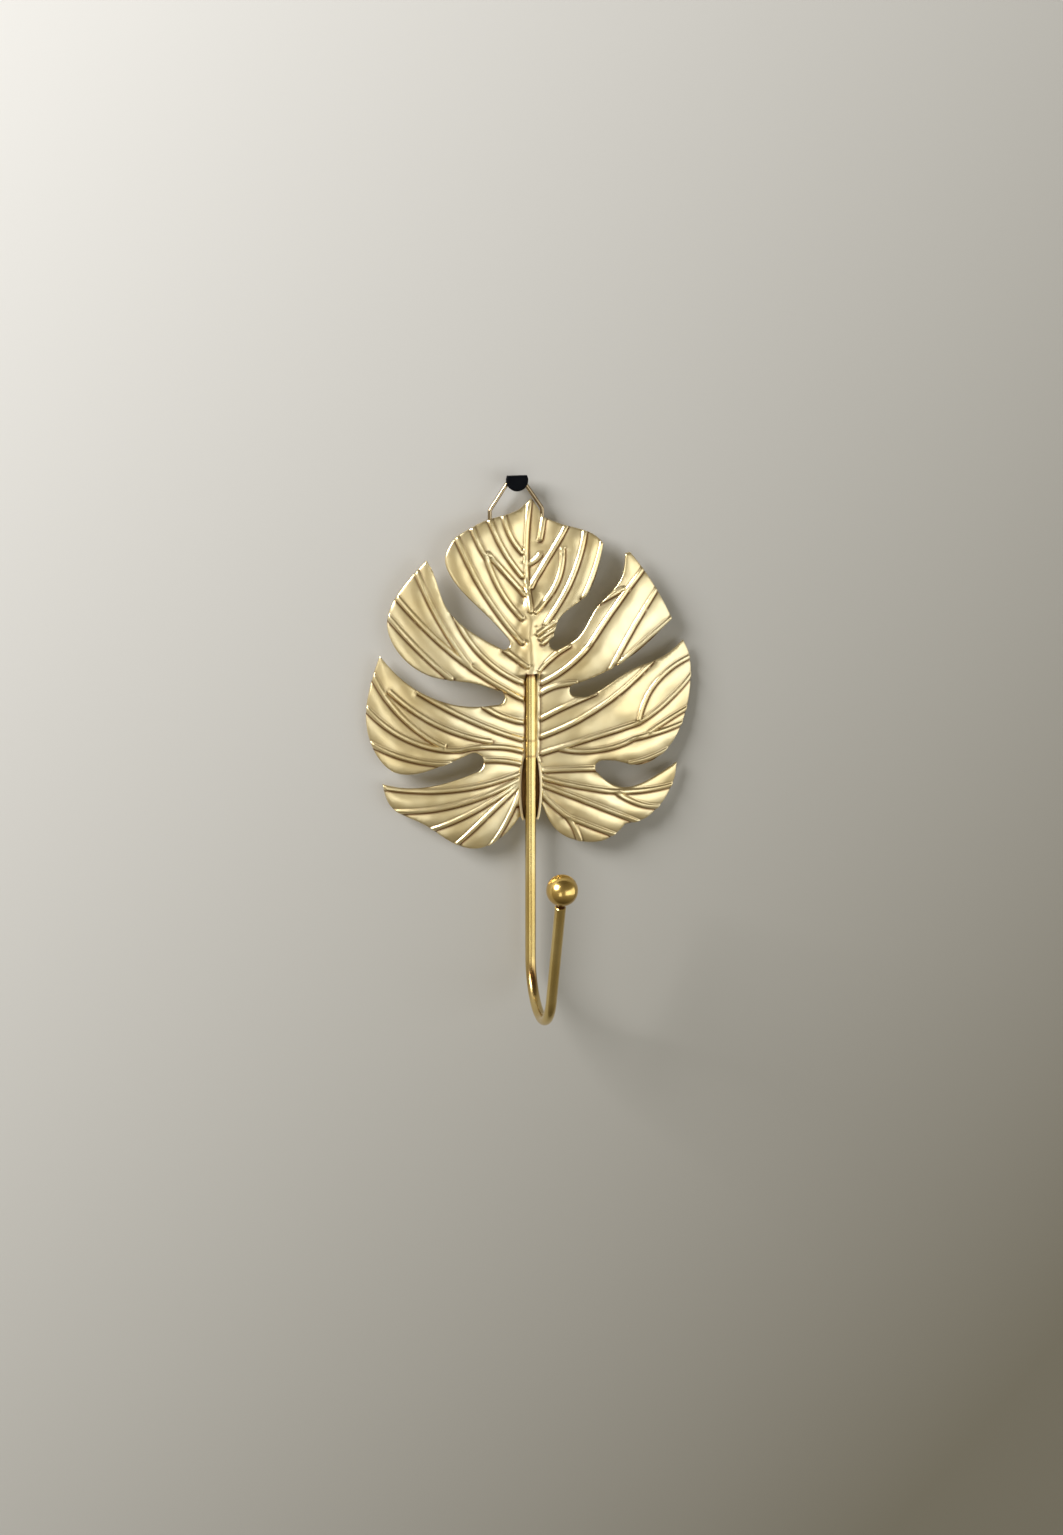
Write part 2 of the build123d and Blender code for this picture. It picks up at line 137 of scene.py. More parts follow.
# small press marks on the tunnel and where veins meet
leafPits = [(-2.6, 40.3), (-2.6, 36.3), (-2.0, 28.0), (10.3, 38.7), (1.3, 15.0), (-1.8, 10.6), (-2.5, 23.2)]


def circleOf(points):
    # middle, radius and the three angles of the circle through three points
    (ax, az), (bx, bz), (cx, cz) = points
    d = 2 * (ax * (bz - cz) + bx * (cz - az) + cx * (az - bz))
    a2, b2, c2 = ax * ax + az * az, bx * bx + bz * bz, cx * cx + cz * cz
    mid = np.array([(a2 * (bz - cz) + b2 * (cz - az) + c2 * (az - bz)) / d,
                    (a2 * (cx - bx) + b2 * (ax - cx) + c2 * (bx - ax)) / d])
    turn = [math.atan2(z - mid[1], x - mid[0]) for x, z in points]
    turn[1] = turn[0] + math.remainder(turn[1] - turn[0], math.tau)
    turn[2] = turn[1] + math.remainder(turn[2] - turn[1], math.tau)
    return mid, math.dist(points[0], mid), turn


def arcThrough(points, step):
    mid, radius, turn = circleOf(points)
    count = max(3, round(abs(turn[2] - turn[0]) * radius / step) + 1)
    angles = np.linspace(turn[0], turn[2], count)
    normals = np.stack([np.cos(angles), np.sin(angles)], 1)
    return mid + radius * normals, normals


def curveThrough(points, step):
    # arc through three points, line through two, natural cubic through more
    p = np.array(points, float)
    if len(p) == 3:
        return arcThrough(points, step)[0]
    knots = np.concatenate([[0], np.cumsum(np.linalg.norm(np.diff(p, axis=0), axis=1))])
    at = np.linspace(0, knots[-1], max(3, round(knots[-1] / step) + 1))
    if len(p) == 2:
        return p[0] + (p[1] - p[0]) * (at / knots[-1])[:, None]
    gaps, n = np.diff(knots), len(p)
    grid, pull = np.eye(n), np.zeros((n, 2))
    for i in range(1, n - 1):
        grid[i, i - 1:i + 2] = gaps[i - 1], 2 * (gaps[i - 1] + gaps[i]), gaps[i]
        pull[i] = 6 * ((p[i + 1] - p[i]) / gaps[i] - (p[i] - p[i - 1]) / gaps[i - 1])
    bend = np.linalg.solve(grid, pull)
    i = np.clip(np.searchsorted(knots, at, side="right") - 1, 0, n - 2)
    h, u, v = gaps[i][:, None], (knots[i + 1] - at)[:, None], (at - knots[i])[:, None]
    return (bend[i] * u**3 + bend[i + 1] * v**3) / (6 * h) + (p[i] / h - bend[i] * h / 6) * u \
        + (p[i + 1] / h - bend[i + 1] * h / 6) * v


def treeOf(points):
    tree = KDTree(len(points))
    for i, (x, z) in enumerate(points):
        tree.insert((x, z, 0), i)
    tree.balance()
    return tree


def nearest(tree, points):
    return np.array([tree.find((x, z, 0))[2] for x, z in points])


def slotHalf(z):
    # half width of the slot over the rod, wider round the recess
    deep = np.clip((-z - leafSet["troughLong"]) / leafSet["recessLong"], 0, 1)
    return leafSet["seatR"] + leafSet["recessOut"] * np.sin(np.pi * deep) ** leafSet["recessRound"]


# lines that the leaf's mesh follows
edgeLine = np.concatenate([curveThrough(c, leafSet["edgeStep"])[:-1] for c in leafOutline])
slotZ = np.arange(leafSet["slotFoot"], 0.01, leafSet["edgeStep"])
slotZ[-1] = 0.0
slotLeft = np.stack([-slotHalf(slotZ), slotZ], 1)
slotRight = slotLeft[::-1] * (-1, 1)
slotTop = np.stack([np.linspace(-leafSet["seatR"], leafSet["seatR"], 10)[1:-1], np.zeros(8)], 1)
slotLine = np.concatenate([slotLeft, slotTop, slotRight])
rimTree = treeOf(np.concatenate([edgeLine, slotLine]))
edgeTree = treeOf(np.concatenate([curveThrough(c, leafSet["edgeFine"])[:-1] for c in leafOutline]))


def sheetHeight(x, z):
    fold = np.sqrt(x * x + leafSet["foldRound"] ** 2) - leafSet["foldDrop"]
    half = leafSet["halfSlope"] * fold - leafSet["halfBow"] * x * x
    wallX = leafSet["seatR"] + leafSet["sheet"] / 2
    atWall = leafSet["halfSlope"] * wallX - leafSet["halfBow"] * wallX**2
    roll = leafSet["tipRoll"] * (z / leafSet["tip"]) ** 2
    wave = leafSet["wave"] * (np.sin(0.31 * x + 0.17 * z + 0.6) * np.cos(0.23 * z - 0.12 * x) - 0.4)
    return leafSet["rodOut"] + leafSet["sheet"] / 2 - atWall + half - roll + wave


def tunnelHump(x, z):
    # soft hump over the rod's top that runs out upwards into the midrib
    past = np.clip((z - leafSet["tunnelLong"] + leafSet["tunnelRun"]) / leafSet["tunnelFade"], 0, 1)
    fade = 1 - past * past * (3 - 2 * past)
    fade *= np.exp(-(np.minimum(z, 0) / leafSet["mouthFade"]) ** 2)
    wide = leafSet["midribWide"] + (leafSet["tunnelWide"] - leafSet["midribWide"]) * fade
    return (leafSet["tunnelOut"] - sheetHeight(0 * x, z)) * fade * np.exp(-(x / wide) ** 2)


def rimCurl(toEdge):
    return leafSet["curl"] * np.clip(1 - toEdge / leafSet["curlWide"], 0, 1) ** 2


def relief(p):
    # what all veins do to the sheet: nearest distance, step beside them, bulge between, crease, and brown
    # painted shade along the crease
    near, step, bulge = np.full(len(p), 99.0), np.zeros(len(p)), np.ones(len(p))
    crease, brown = np.zeros(len(p)), np.zeros(len(p))
    for v in leafVeins:
        mid, radius, turn = circleOf(v)
        half = (turn[2] - turn[0]) / 2
        off = np.arctan2(p[:, 1] - mid[1], p[:, 0] - mid[0]) - turn[0] - half
        at = np.clip((off + math.pi) % math.tau - math.pi, -abs(half), abs(half)) + turn[0] + half
        gap = p - mid - radius * np.stack([np.cos(at), np.sin(at)], 1)
        away = np.hypot(gap[:, 0], gap[:, 1])
        under = 0.5 + 0.5 * np.tanh(4 * (gap @ leafSet["downWay"]) / np.maximum(away, 1e-6))
        side = leafSet["overVein"] - (leafSet["overVein"] + leafSet["underVein"]) * under
        start = 1 - np.exp(-(away / leafSet["stepStart"]) ** 2)
        step += side * np.exp(-(away / leafSet["stepReach"]) ** 2) * start
        bulge *= 1 - np.exp(-(away / leafSet["pillowReach"]) ** 2)
        line = np.exp(-((away - leafSet["creaseAt"]) / leafSet["creaseWide"]) ** 2)
        crease = np.maximum(crease, (0.5 + 0.5 * under) * line)
        # painted shade: a brown line in each crease, darker on the lower side where shade falls
        line = np.exp(-((away - leafSet["brownAt"]) / leafSet["brownWide"]) ** 2)
        brown = np.maximum(brown, (0.35 + 0.75 * under) * line)
        near = np.minimum(near, away)
    clear = np.clip((near - leafSet["veinClear"]) / leafSet["veinFade"], 0, 1)
    step = leafSet["stepMost"] * np.tanh(step / leafSet["stepMost"])
    return near, step, bulge, crease * clear, brown * clear


def frontHeight(p):
    x, z = p[:, 0], p[:, 1]
    near, step, bulge, crease, brown = relief(p)
    beside = np.abs(x) - slotHalf(z)
    low = z < 0.2
    # veins end before the slot, closer to it on the left than on the right
    (gapLeft, fadeLeft), (gapRight, fadeRight) = leafSet["calmLeft"], leafSet["calmRight"]
    calm = np.clip(np.where(x < 0, (beside - gapLeft) / fadeLeft, (beside - gapRight) / fadeRight), 0, 1)
    calm = np.where(low, calm * calm * (3 - 2 * calm), 1)
    bead = 0.5 + 0.5 * np.cos(np.pi * np.clip((near - leafSet["veinFlat"]) / leafSet["veinFlank"], 0, 1))
    height = sheetHeight(x, z) + leafSet["pillow"] * bulge + tunnelHump(x, z)
    height += calm * (leafSet["veinHigh"] * bead - leafSet["creaseDeep"] * crease + step)
    often = leafSet["dentOften"]
    height += leafSet["dent"] * np.array([noise.noise((often * a, often * b, 3.1)) for a, b in p])
    atLip = low & (x > 0) & (z > leafSet["lipFoot"])
    lip = leafSet["lip"] * np.exp(-((beside - leafSet["lipAt"]) / leafSet["lipWide"]) ** 2)
    height += np.where(atLip, lip, 0)
    for px, pz in leafPits:
        height -= leafSet["pitDeep"] * np.exp(-((x - px) ** 2 + (z - pz) ** 2) / leafSet["pitSpread"])
    toEdge = nearest(edgeTree, p)
    over = np.clip(1 - toEdge / leafSet["edgeRound"], 0, 1)
    height -= leafSet["edgeRound"] * (1 - np.sqrt(1 - over**2)) + rimCurl(toEdge)
    # no painted shade on the tunnel, but painted shade along the slot's edges and beside the lip
    onTunnel = (z > 0) & (z < leafSet["bareHigh"])
    bare = np.clip((np.abs(x) - leafSet["bareHalf"]) / leafSet["bareFade"], 0, 1)
    brown *= calm * np.where(onTunnel, bare, 1)
    atSlot = low & ((x < 0) | (z < leafSet["lipFoot"]))
    brown = np.where(atSlot, np.maximum(brown, np.exp(-(beside / leafSet["slotBrown"]) ** 2)), brown)
    line = np.exp(-((beside - leafSet["lipBrownAt"]) / leafSet["lipBrownWide"]) ** 2)
    brown = np.where(atLip, np.maximum(brown, leafSet["lipBrown"] * line), brown)
    return height, np.clip(brown, 0, 1)


def backHeight(p):
    x, z = p[:, 0], p[:, 1]
    near, _, bulge, _, _ = relief(p)
    groove = leafSet["grooveShare"] * leafSet["veinHigh"] * np.exp(-(near / leafSet["grooveWide"]) ** 2)
    height = sheetHeight(x, z) + groove + leafSet["pillow"] * bulge
    height += leafSet["tunnelBack"] * tunnelHump(x, z) - leafSet["sheet"] - rimCurl(nearest(edgeTree, p))
    past = np.clip(z - leafSet["tunnelLong"] + leafSet["boreEnd"], 0, None)
    inside = leafSet["seatR"] ** 2 - x * x - past**2
    bore = leafSet["rodOut"] + np.sqrt(np.clip(inside, 0, None))
    return np.where((inside > 0) & (z > -0.02), np.maximum(height, bore), height), np.zeros(len(p))


def thin(points, reach):
    # one point kept in each small cell
    cells = np.floor(points / reach).astype(int)
    return points[np.sort(np.unique(cells, axis=0, return_index=True)[1])]


def sheetPoints(layout):
    rows = []
    for v in leafVeins:
        centre, normals = arcThrough(v, layout["along"])
        rows += [centre + normals * s for s in layout["across"]]
    rows = np.concatenate(rows)
    if "dome" in layout:
        # an even grid over the tunnel in place of the veins' rows
        wide, high, step = layout["dome"]
        grid = np.mgrid[-wide:wide + 0.01:step, 0.2:high:step * 1.3].reshape(2, -1).T
        off = (np.abs(rows[:, 0]) > wide + 0.1) | (rows[:, 1] < 0) | (rows[:, 1] > high)
        rows = np.concatenate([grid, rows[off]])
    rows = thin(rows, layout["cell"])
    fill = layout["fill"]
    hexes = np.array([(i * fill + (j % 2) * fill / 2, j * fill * 0.866)
                      for i in range(-70, 71) for j in range(-80, 81)])
    inner = np.concatenate([rows, hexes[nearest(treeOf(rows), hexes) > 0.62 * fill]])
    inner = inner[nearest(rimTree, inner) > layout["rimGap"]]
    if "lips" in layout:
        # rows along both sides of the slot
        off = np.abs(inner[:, 0]) > slotHalf(inner[:, 1]) + layout["lipGap"]
        inner = inner[(inner[:, 1] > 0.1) | off]
        lipZ = np.arange(layout["lipFoot"], 0.0, leafSet["edgeStep"])
        lips = [np.stack([s * (slotHalf(lipZ) + r), lipZ], 1) for s in (-1, 1) for r in layout["lips"]]
        inner = np.concatenate([inner, *lips])
    tangent = np.roll(edgeLine, -1, 0) - np.roll(edgeLine, 1, 0)
    normal = np.stack([-tangent[:, 1], tangent[:, 0]], 1) / np.linalg.norm(tangent, axis=1)[:, None]
    for reach in layout["edgeRows"]:
        ring = edgeLine + normal * reach
        inner = np.concatenate([inner, ring[nearest(edgeTree, ring) > 0.9 * reach]])
    return inner


def sheetFaces(inner):
    points = np.concatenate([edgeLine, slotLine, inner])
    n, m = len(edgeLine), len(slotLine)
    edges = [(i, (i + 1) % n) for i in range(n)] + [(n + i, n + (i + 1) % m) for i in range(m)]
    at, _, faces, *_ = delaunay_2d_cdt([Vector(p) for p in points], edges, [], 1, 1e-5)
    at = np.array([(p.x, p.y) for p in at])
    middles = np.array([at[f].mean(0) for f in faces])
    inSlot = (middles[:, 1] < 0) & (np.abs(middles[:, 0]) < slotHalf(middles[:, 1]) - 1e-4)
    return at, [f for f, cut in zip(faces, inSlot) if not cut]


def place(x, out, z):
    return Vector((x + leafSet["midribX"], -out, z + leafSet["mouthZ"])) * mm


def addSheet(bm, tone, layout, heights, flip):
    at, faces = sheetFaces(sheetPoints(layout))
    out, tones = heights(at)
    used = sorted({i for f in faces for i in f})
    verts = {i: bm.verts.new(place(at[i][0], out[i], at[i][1])) for i in used}
    for i, v in verts.items():
        v[tone] = tones[i]
    for f in faces:
        bm.faces.new([verts[i] for i in (reversed(f) if flip else f)])
    print("leaf sheet of", len(faces), "triangles")


def makePiece(name, bm, material, slot, *nodes, sharp=35):
    mesh = bpy.data.meshes.new(name)
    for f in bm.faces:
        f.smooth = True
    bm.to_mesh(mesh)
    bm.free()
    mesh.set_sharp_from_angle(angle=math.radians(sharp))
    mesh.materials.append(material)
    piece = bpy.data.objects.new(name, mesh)
    scene.collection.objects.link(piece)
    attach(piece, "root")
    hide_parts(*nodes)
    print(name, "has", len(mesh.polygons), "faces")


def addNode(tree, kind, values, **settings):
    node = tree.nodes.new("ShaderNode" + kind)
    for key, value in settings.items():
        setattr(node, key, value)
    for socket, value in values.items():
        node.inputs[socket].default_value = value
    return node


def newFinish(name, values):
    mat = bpy.data.materials.new(name)
    mat.use_nodes = True
    shader = mat.node_tree.nodes["Principled BSDF"]
    for socket, value in values.items():
        shader.inputs[socket].default_value = value
    return mat, mat.node_tree, shader, mat.node_tree.links.new


def goldFinish(name, light, deep, rough, grain):
    # satin plated brass: cloudy tone, uneven gloss, fine grain, and the crease attribute's brown, which is
    # painted shade in creases and hollows, plus two real dark marks on the rod
    mat, tree, shader, join = newFinish(name, {"Metallic": 1.0, "Coat Weight": 0.1, "Coat Roughness": 0.22})
    where = addNode(tree, "TexCoord", {})
    cloud = addNode(tree, "TexNoise", {"Scale": 70.0, "Detail": 5.0})
    spread = addNode(tree, "MapRange", {"From Min": 0.35, "From Max": 0.65})
    tint = addNode(tree, "Mix", {"A": (*deep, 1), "B": (*light, 1)}, data_type="RGBA")
    crease = addNode(tree, "Attribute", {}, attribute_name="crease")
    # painted shade (and a few real marks) mixed in by the crease attribute
    shadeAndMarks = addNode(tree, "Mix", {"B": (0.15, 0.055, 0.014, 1)}, data_type="RGBA")
    gloss = addNode(tree, "MapRange", {"To Min": rough - 0.02, "To Max": rough + 0.05})
    speck = addNode(tree, "TexNoise", {"Scale": grain, "Detail": 3.0})
    bump = addNode(tree, "Bump", {"Strength": 0.02, "Distance": 0.0002})
    join(where.outputs["Object"], cloud.inputs["Vector"])
    join(cloud.outputs["Fac"], spread.inputs["Value"])
    join(spread.outputs["Result"], tint.inputs["Factor"])
    join(tint.outputs["Result"], shadeAndMarks.inputs["A"])
    join(crease.outputs["Fac"], shadeAndMarks.inputs["Factor"])
    join(shadeAndMarks.outputs["Result"], shader.inputs["Base Color"])
    join(cloud.outputs["Fac"], gloss.inputs["Value"])
    join(gloss.outputs["Result"], shader.inputs["Roughness"])
    join(where.outputs["Object"], speck.inputs["Vector"])
    join(speck.outputs["Fac"], bump.inputs["Height"])
    join(bump.outputs["Normal"], shader.inputs["Normal"])
    return mat


leafGold = goldFinish("leaf satin gold", (0.88, 0.76, 0.48), (0.78, 0.63, 0.34), 0.34, 700.0)
rodGold = goldFinish("rod gold", (0.77, 0.60, 0.26), (0.66, 0.48, 0.17), 0.22, 900.0)
ballGold = goldFinish("ball gold", (0.66, 0.46, 0.15), (0.56, 0.37, 0.11), 0.20, 900.0)
wireGold = goldFinish("wire gold", (0.36, 0.28, 0.17), (0.25, 0.18, 0.10), 0.20, 900.0)

# leaf: front sheet, rim, back sheet and the trough behind the rod
frontLayout = {
    "across": (0, 0.28, 0.46, 0.64, 0.82, 1.02, 1.3, 1.7, -0.28, -0.46, -0.64, -0.82, -1.02, -1.3, -1.7),
    "along": 0.5, "fill": 0.85, "cell": 0.17, "rimGap": 0.52, "edgeRows": (0.1, 0.32),
    "dome": (4.2, 26.0, 0.3),                 # half width, height and step
    "lips": (0.15, 0.35, 0.6, 0.9, 1.2, 1.5), "lipGap": 1.75, "lipFoot": -42.0,
}
backLayout = {
    "across": (0, 0.55, -0.55, 1.1, -1.1),
    "along": 1.0, "fill": 1.3, "cell": 0.4, "rimGap": 0.4, "edgeRows": (),
}
bm = bmesh.new()
tone = bm.verts.layers.float.new("crease")
addSheet(bm, tone, frontLayout, frontHeight, False)
rim = bmesh.ops.extrude_edge_only(bm, edges=[e for e in bm.edges if e.is_boundary])
rimVerts = [v for v in rim["geom"] if isinstance(v, bmesh.types.BMVert)]
rimAt = np.array([(v.co.x / mm - leafSet["midribX"], v.co.z / mm - leafSet["mouthZ"]) for v in rimVerts])
for v, out in zip(rimVerts, backHeight(rimAt)[0]):
    v.co.y = -out * mm
    v[tone] = 0
addSheet(bm, tone, backLayout, backHeight, True)
bmesh.ops.remove_doubles(bm, verts=[v for v in bm.verts if v.is_boundary], dist=2e-6)
bmesh.ops.recalc_face_normals(bm, faces=bm.faces)

# trough: half a turn of the slot's line, thickened outwards
shell = bmesh.new()
shellTone = shell.verts.layers.float.new("crease")
troughMid = place(0, leafSet["rodOut"], 0)
troughZ = np.linspace(0, -leafSet["troughLong"] - leafSet["recessLong"], leafSet["troughSteps"])
line = [shell.verts.new(place(slotHalf(z) + leafSet["troughGap"], leafSet["rodOut"], z)) for z in troughZ]
edges = [shell.edges.new(pair) for pair in zip(line, line[1:])]
bmesh.ops.spin(shell, geom=line + edges, cent=troughMid, axis=(0, 0, 1), angle=math.pi,
               steps=leafSet["troughTurns"])
bmesh.ops.recalc_face_normals(shell, faces=shell.faces)
if shell.faces[0].normal.dot(shell.faces[0].calc_center_median() - troughMid) < 0:
    bmesh.ops.reverse_faces(shell, faces=shell.faces)
bmesh.ops.solidify(shell, geom=shell.faces[:], thickness=-leafSet["sheet"] * mm)
# painted shade: the trough's inner side is browned, as if in shade
for v in shell.verts:
    reach = math.hypot(v.co.x / mm - leafSet["midribX"], v.co.y / mm + leafSet["rodOut"])
    isInside = reach < slotHalf(v.co.z / mm - leafSet["mouthZ"]) + 0.3
    v[shellTone] = leafSet["troughBrown"] if isInside else 0.0
troughMesh = bpy.data.meshes.new("trough")
shell.to_mesh(troughMesh)
shell.free()
bm.from_mesh(troughMesh)
bpy.data.meshes.remove(troughMesh)
makePiece("leaf", bm, leafGold, "leaf_gold", "leaf_plate", sharp=50)

# rod in mm, from the tunnel down, round the bend and up to the ball
rodSet = {
    "r": 1.75, "topZ": -40.0, "bendZ": -156.5, "bendR": 16.0, "lean": 19.5, "frontLong": 44.2,
    "chamfer": 0.2, "neckR": 1.45, "ballR": 5.0, "gap": 1.7, "inBall": 1.5,
    "sides": 48, "levels": 30, "bendSteps": 40, "legSteps": 10,
    # brown as (z, strength, width): painted shadow at the tunnel's mouth, two rubbed rings, and a painted
    # dark reflection inside the bend
    "marks": ((-61.5, 1.0, 0.9), (-83.3, 0.5, 0.4), (-88.5, 0.6, 0.4)),
    "bendShade": (-163.2, 0.92, 5.0),
    "markRings": (-2.2, -1.5, -1, -0.5, 0, 0.5, 1, 1.5, 2.2),    # in widths of the mark
}
lean = math.radians(rodSet["lean"])
legWay = Vector((0, -math.sin(lean), math.cos(lean)))
topMid = Vector((leafSet["midribX"], -leafSet["rodOut"], rodSet["topZ"])) * mm
bendMid = Vector((leafSet["midribX"], -leafSet["rodOut"] - rodSet["bendR"], rodSet["bendZ"])) * mm
legFoot = bendMid + Vector((0, -math.cos(lean), -math.sin(lean))) * rodSet["bendR"] * mm
ballMid = legFoot + legWay * rodSet["frontLong"] * mm
shoulder = ballMid - legWay * (math.sqrt(rodSet["ballR"] ** 2 - rodSet["r"] ** 2) + rodSet["gap"]) * mm
chamfered = 1 - rodSet["chamfer"] / rodSet["r"]


def vertsOf(ring):
    return list(dict.fromkeys(v for e in ring for v in e.verts))


def drawOut(bm, ring, move):
    made = bmesh.ops.extrude_edge_only(bm, edges=ring)["geom"]
    bmesh.ops.translate(bm, vec=move, verts=[g for g in made if isinstance(g, bmesh.types.BMVert)])
    return [g for g in made if isinstance(g, bmesh.types.BMEdge)]


def resize(ring, middle, share):
    for v in vertsOf(ring):
        v.co = middle + (v.co - middle) * share


def brownAt(v, mark):
    z, strength, wide = mark
    return strength * math.exp(-((v.co.z / mm - z) / wide) ** 2)


def insideBend(v):
    # 1 on the side towards the bend's middle, 0 from the rod's own middle outwards
    far = math.hypot(v.co.y - bendMid.y, min(0, v.co.z - bendMid.z)) / mm
    return min(1, max(0, (rodSet["bendR"] - far) / rodSet["r"]))


bm = bmesh.new()
bmesh.ops.create_circle(bm, cap_ends=True, segments=rodSet["sides"], radius=rodSet["r"] * mm,
                        matrix=Matrix.Translation(topMid))
ring = bm.edges[:]
resize(ring, topMid, chamfered)
down = Vector((0, 0, -rodSet["chamfer"])) * mm
ring = drawOut(bm, ring, down)
resize(ring, topMid + down, 1 / chamfered)
straight = np.linspace(rodSet["topZ"] - rodSet["chamfer"], rodSet["bendZ"], rodSet["levels"])
levels = {round(z, 3) for z in straight}
levels |= {z + d * wide for z, _, wide in rodSet["marks"] for d in rodSet["markRings"]}
levels = sorted(levels, reverse=True)
for above, below in zip(levels, levels[1:]):
    ring = drawOut(bm, ring, Vector((0, 0, below - above)) * mm)
turned = bmesh.ops.spin(bm, geom=ring + vertsOf(ring), cent=bendMid, axis=(1, 0, 0),
                        angle=-math.pi + lean, steps=rodSet["bendSteps"])["geom_last"]
ring = [g for g in turned if isinstance(g, bmesh.types.BMEdge)]
legLong = (shoulder - legFoot).length - rodSet["chamfer"] * mm
for _ in range(rodSet["legSteps"]):
    ring = drawOut(bm, ring, legWay * legLong / rodSet["legSteps"])
ring = drawOut(bm, ring, legWay * rodSet["chamfer"] * mm)
resize(ring, shoulder, chamfered)
ring = drawOut(bm, ring, Vector((0, 0, 0)))
resize(ring, shoulder, rodSet["neckR"] / (rodSet["r"] - rodSet["chamfer"]))
neckRings = [ring]
for reach in (rodSet["gap"], rodSet["inBall"]):
    ring = drawOut(bm, ring, legWay * reach * mm)
    neckRings.append(ring)
bmesh.ops.edgeloop_fill(bm, edges=ring)
bmesh.ops.recalc_face_normals(bm, faces=bm.faces)
tone = bm.verts.layers.float.new("crease")
# painted shadow at the tunnel's mouth and painted dark reflection inside the bend, with the two rubbed rings
for v in bm.verts:
    if v.co.y > bendMid.y:
        marks = [brownAt(v, mark) for mark in rodSet["marks"]]
        v[tone] = max(*marks, brownAt(v, rodSet["bendShade"]) * insideBend(v))
for ring in neckRings:
    for v in vertsOf(ring):
        v[tone] = 1.0                         # painted shade on the neck under the ball
makePiece("rod", bm, rodGold, "rod_gold", "hook_rod")

# ball with the mouth of its bore round the rod's neck
ballSet = {"around": 72, "rings": 48, "mouthR": 1.6, "mouthRim": 0.05, "mouthDeep": 2.5}
bm = bmesh.new()
bmesh.ops.create_uvsphere(bm, u_segments=ballSet["around"], v_segments=ballSet["rings"],
                          radius=rodSet["ballR"] * mm)
middles = {f: f.calc_center_median() for f in bm.faces}
low = [f for f, mid in middles.items() if mid.z < 0 and math.hypot(mid.x, mid.y) < ballSet["mouthR"] * mm]
cap = bmesh.ops.dissolve_faces(bm, faces=low)["region"][0]
bmesh.ops.inset_region(bm, faces=[cap], thickness=ballSet["mouthRim"] * mm)
bmesh.ops.translate(bm, vec=Vector((0, 0, ballSet["mouthDeep"])) * mm, verts=cap.verts[:])
toLeg = legWay.to_track_quat("Z", "Y").to_matrix().to_4x4()
bmesh.ops.transform(bm, matrix=Matrix.Translation(ballMid) @ toLeg, verts=bm.verts)
bmesh.ops.recalc_face_normals(bm, faces=bm.faces)
makePiece("ball", bm, ballGold, "ball_gold", "ball_knob")


# loop and nail keep their solids, with a finish of their own
def paintNode(node, material):
    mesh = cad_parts[node].data
    mesh.materials.clear()
    mesh.materials.append(material)


def blackFinish():
    mat, tree, shader, join = newFinish("nail black", {"Specular IOR Level": 0.03})
    where = addNode(tree, "TexCoord", {})
    worn = addNode(tree, "TexNoise", {"Scale": 500.0, "Detail": 4.0})
    dark, pale = (0.001, 0.0012, 0.002, 1), (0.004, 0.0045, 0.006, 1)
    tint = addNode(tree, "Mix", {"A": dark, "B": pale}, data_type="RGBA")
    gloss = addNode(tree, "MapRange", {"To Min": 0.3, "To Max": 0.45})
    bump = addNode(tree, "Bump", {"Strength": 0.2, "Distance": 0.0002})
    join(where.outputs["Object"], worn.inputs["Vector"])
    join(worn.outputs["Fac"], tint.inputs["Factor"])
    join(tint.outputs["Result"], shader.inputs["Base Color"])
    join(worn.outputs["Fac"], gloss.inputs["Value"])
    join(gloss.outputs["Result"], shader.inputs["Roughness"])
    join(worn.outputs["Fac"], bump.inputs["Height"])
    join(bump.outputs["Normal"], shader.inputs["Normal"])
    return mat


paintNode("hanger_loop", wireGold)
paintNode("wall_nail", blackFinish())
print("loop and nail painted")

# wall behind, with painted shade: pale at the upper left and darker at the lower right
wallSet = {
    "wide": 1.2, "high": 1.5, "pale": (0.63, 0.617, 0.595), "dusk": (0.155, 0.14, 0.105),
    "darkWay": (0.75, 0, -0.66), "darkSpan": (-0.25, 0.36),
}


def wallPaint():
    # seen from the front only, and clear to the back fill's light
    mat, tree, shader, join = newFinish("wall paint", {"Roughness": 0.9, "Specular IOR Level": 0.1})
    where = addNode(tree, "TexCoord", {})
    slope = addNode(tree, "VectorMath", {1: wallSet["darkWay"]}, operation="DOT_PRODUCT")
    start, end = wallSet["darkSpan"]
    span = addNode(tree, "MapRange", {"From Min": start, "From Max": end})
    shade = addNode(tree, "Mix", {"A": (*wallSet["pale"], 1), "B": (*wallSet["dusk"], 1)}, data_type="RGBA")
    facing = addNode(tree, "NewGeometry", {})
    ray = addNode(tree, "LightPath", {})
    either = addNode(tree, "Math", {}, operation="MAXIMUM")
    clear = addNode(tree, "BsdfTransparent", {})
    pick = addNode(tree, "MixShader", {})
    join(where.outputs["Object"], slope.inputs[0])
    join(slope.outputs["Value"], span.inputs["Value"])
    join(span.outputs["Result"], shade.inputs["Factor"])
    join(shade.outputs["Result"], shader.inputs["Base Color"])
    join(facing.outputs["Backfacing"], either.inputs[0])
    join(ray.outputs["Is Shadow Ray"], either.inputs[1])
    join(either.outputs["Value"], pick.inputs["Fac"])
    join(shader.outputs["BSDF"], pick.inputs[1])
    join(clear.outputs["BSDF"], pick.inputs[2])
    join(pick.outputs["Shader"], tree.nodes["Material Output"].inputs["Surface"])
    return mat


